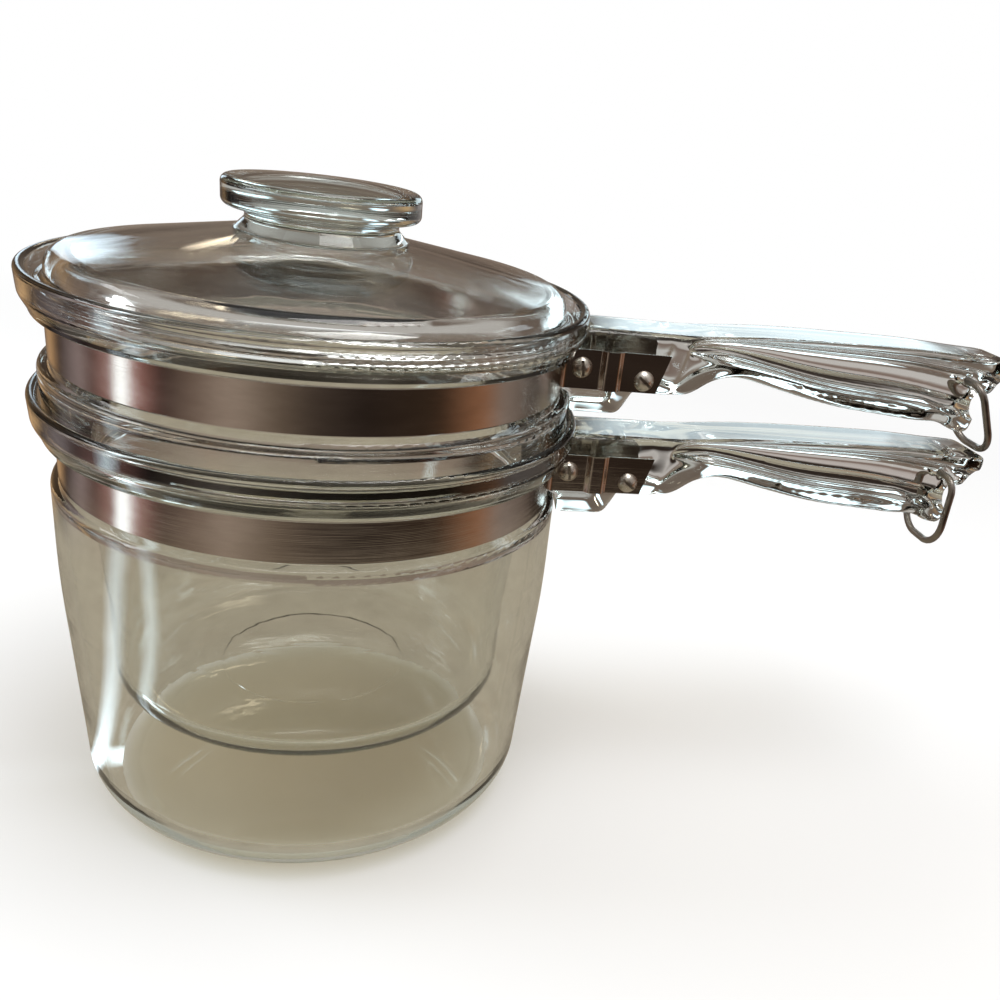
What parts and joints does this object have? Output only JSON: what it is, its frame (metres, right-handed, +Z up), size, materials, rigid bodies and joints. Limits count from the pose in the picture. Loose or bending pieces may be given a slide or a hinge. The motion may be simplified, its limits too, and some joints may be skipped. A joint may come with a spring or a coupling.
{
  "type": "double boiler",
  "caption": "Clear glass double boiler: a food pot with a domed, knobbed lid nested in a water pot, each with a glass side handle, steel strap and wire hanging ring.",
  "frame": {"origin": "centre of the flat base of the lower pot, on the axis of both pots", "axes": "+Z up along the axis of the pots and lid, +X out along the two handles"},
  "size_m": [0.322, 0.1648, 0.2],
  "materials": {
    "pot_glass": "clear polished glass with a faint green edge",
    "lid_glass": "clear polished glass",
    "handle_glass": "clear pressed glass",
    "strap_steel": "brushed stainless strip, a little worn",
    "fastener_nickel": "dull nickel plate",
    "ring_wire": "dark drawn steel wire"
  },
  "bodies": {
    "lower_pot_body": {"lower_pot": "pot_glass", "lower_strap": "strap_steel", "lower_handle": "handle_glass", "lower_clamp_screw": "fastener_nickel", "lower_clamp_nut": "fastener_nickel", "lower_handle_screw": "fastener_nickel", "lower_handle_nut": "fastener_nickel"},
    "lower_ring_body": {"lower_hang_ring": "ring_wire"},
    "upper_pot_body": {"upper_pot": "pot_glass", "upper_strap": "strap_steel", "upper_handle": "handle_glass", "upper_clamp_screw": "fastener_nickel", "upper_clamp_nut": "fastener_nickel", "upper_handle_screw": "fastener_nickel", "upper_handle_nut": "fastener_nickel"},
    "upper_ring_body": {"upper_hang_ring": "ring_wire"},
    "lid_body": {"lid": "lid_glass"}
  },
  "joints": [
    {"name": "upper_lift", "type": "slide", "parent": "lower_pot_body", "child": "upper_pot_body", "axis": [0, 0, 1], "range_m": [0, 0.12]},
    {"name": "lid_lift", "type": "slide", "parent": "upper_pot_body", "child": "lid_body", "axis": [0, 0, 1], "range_m": [0, 0.06]},
    {"name": "lower_ring_swing", "type": "hinge", "parent": "lower_pot_body", "child": "lower_ring_body", "pos_m": [0.2272, 0, 0.1212], "axis": [0, -1, 0], "range_deg": [-20, 100]},
    {"name": "upper_ring_swing", "type": "hinge", "parent": "upper_pot_body", "child": "upper_ring_body", "pos_m": [0.2272, 0, 0.15665], "axis": [0, -1, 0], "range_deg": [0, 75]}
  ]
}
